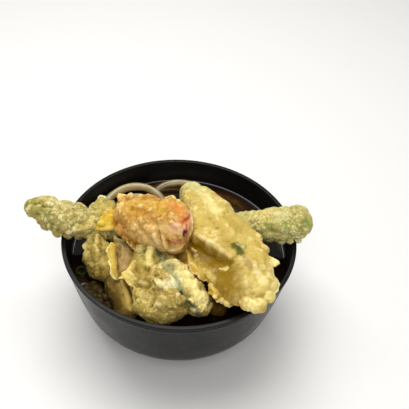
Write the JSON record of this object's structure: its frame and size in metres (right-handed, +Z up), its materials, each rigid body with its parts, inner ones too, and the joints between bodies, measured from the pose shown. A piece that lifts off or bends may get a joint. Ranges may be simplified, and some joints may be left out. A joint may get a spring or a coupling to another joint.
{
  "type": "udon noodle bowl",
  "caption": "Black bowl of udon noodle soup with battered, fried pieces heaped on the broth and resting on the rim.",
  "frame": {"origin": "on the table under the middle of the whole part's outline; the bowl's own axis is 9.3 mm to +X of it", "axes": "+Z up; +X to the right as the bowl is served, along the two green pieces that overhang the rim; +Y away from the eater"},
  "size_m": [0.2207, 0.1824, 0.1227],
  "materials": {
    "bowl": "glossy black lacquered plastic",
    "broth": "dark brown soy broth, wet and clear at its edge",
    "noodles": "wet translucent wheat noodle",
    "green_batter": "pale frosted batter with the green vegetable showing through",
    "golden_batter": "oily golden batter over a pink stick",
    "pale_batter": "oily pale yellow batter",
    "leafy_batter": "lumpy pale batter with dark leaf showing through",
    "folded_batter": "soft folded batter, pale yellow to tan",
    "soaked_batter": "batter soaked through with broth"
  },
  "bodies": {
    "root": {"bowl": "bowl", "broth": "broth", "noodles": "noodles", "asparagus_tip": "green_batter", "asparagus_stalk": "green_batter", "crab_stick_fritter": "golden_batter", "long_fritter": "pale_batter", "leafy_fritter": "leafy_batter", "folded_fritter": "folded_batter", "soaked_crumbs": "soaked_batter", "soaked_strip": "soaked_batter"}
  },
  "joints": []
}
